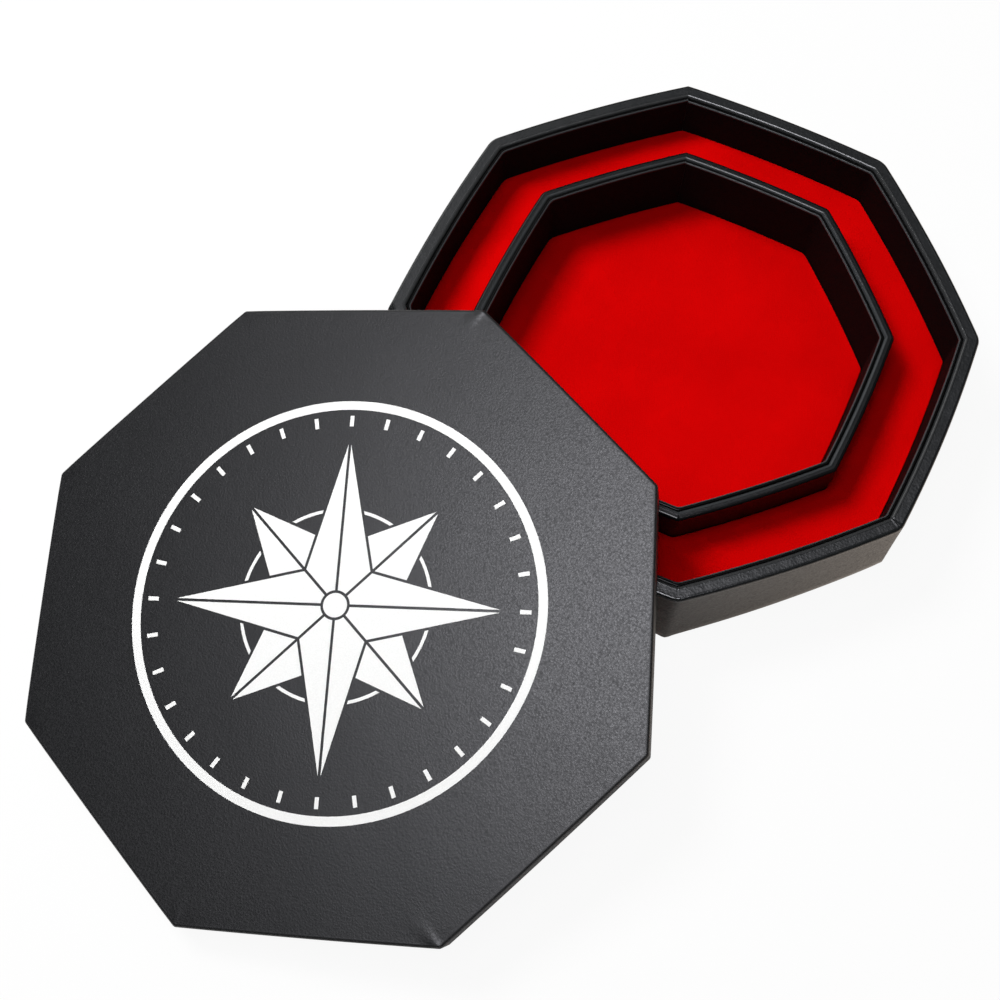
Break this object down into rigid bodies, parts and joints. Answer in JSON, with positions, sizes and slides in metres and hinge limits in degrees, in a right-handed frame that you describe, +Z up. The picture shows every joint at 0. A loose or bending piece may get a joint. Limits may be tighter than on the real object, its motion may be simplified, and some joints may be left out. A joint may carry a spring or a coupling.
{
  "type": "octagonal dice tray with lid",
  "caption": "Octagonal leatherette dice tray with a raised velvet channel round a lower rolling floor, and a lift-off lid with a shallow skirt leaning on its rim.",
  "frame": {"origin": "middle of the tray's underside, on the table", "axes": "+Z up out of the tray, +Y towards the tray's back flat side; the lid leans at the front left corner"},
  "size_m": [0.3996, 0.527, 0.0812],
  "materials": {
    "black_leatherette": "fine-grained matt PU leatherette, black",
    "liner_leatherette": "thin black PU leatherette on the liner strips",
    "red_velvet": "short-pile red velvet",
    "lining_paper": "black lining paper",
    "base_felt": "thin black felt",
    "riser_foam": "black foam",
    "white_ink": "screen-printed white ink",
    "fibreboard": "medium density fibreboard",
    "grey_card": "grey box card"
  },
  "bodies": {
    "tray": {"base_board": "fibreboard", "base_sheet": "base_felt", "channel_board": "grey_card", "channel_riser": "riser_foam", "channel_velvet": "red_velvet", "floor_board": "grey_card", "floor_riser": "fibreboard", "floor_velvet": "red_velvet", "ring_board_1": "fibreboard", "ring_board_2": "fibreboard", "ring_board_3": "fibreboard", "ring_board_4": "fibreboard", "ring_board_5": "fibreboard", "ring_board_6": "fibreboard", "ring_board_7": "fibreboard", "ring_board_8": "fibreboard", "ring_liner_card": "grey_card", "ring_liner_wrap": "liner_leatherette", "ring_wrap": "black_leatherette", "wall_board_1": "fibreboard", "wall_board_2": "fibreboard", "wall_board_3": "fibreboard", "wall_board_4": "fibreboard", "wall_board_5": "fibreboard", "wall_board_6": "fibreboard", "wall_board_7": "fibreboard", "wall_board_8": "fibreboard", "wall_liner_card": "grey_card", "wall_liner_wrap": "liner_leatherette", "wall_wrap": "black_leatherette"},
    "lid": {"lid_lining_card": "grey_card", "lid_lining_velvet": "red_velvet", "lid_print": "white_ink", "lid_skirt_board_1": "fibreboard", "lid_skirt_board_2": "fibreboard", "lid_skirt_board_3": "fibreboard", "lid_skirt_board_4": "fibreboard", "lid_skirt_board_5": "fibreboard", "lid_skirt_board_6": "fibreboard", "lid_skirt_board_7": "fibreboard", "lid_skirt_board_8": "fibreboard", "lid_skirt_lining": "lining_paper", "lid_top_board": "fibreboard", "lid_wrap": "black_leatherette"}
  },
  "joints": [
    {"name": "lid_lift", "type": "slide", "parent": "tray", "child": "lid", "axis": [0, 0, 1], "range_m": [0, 0.2]}
  ]
}
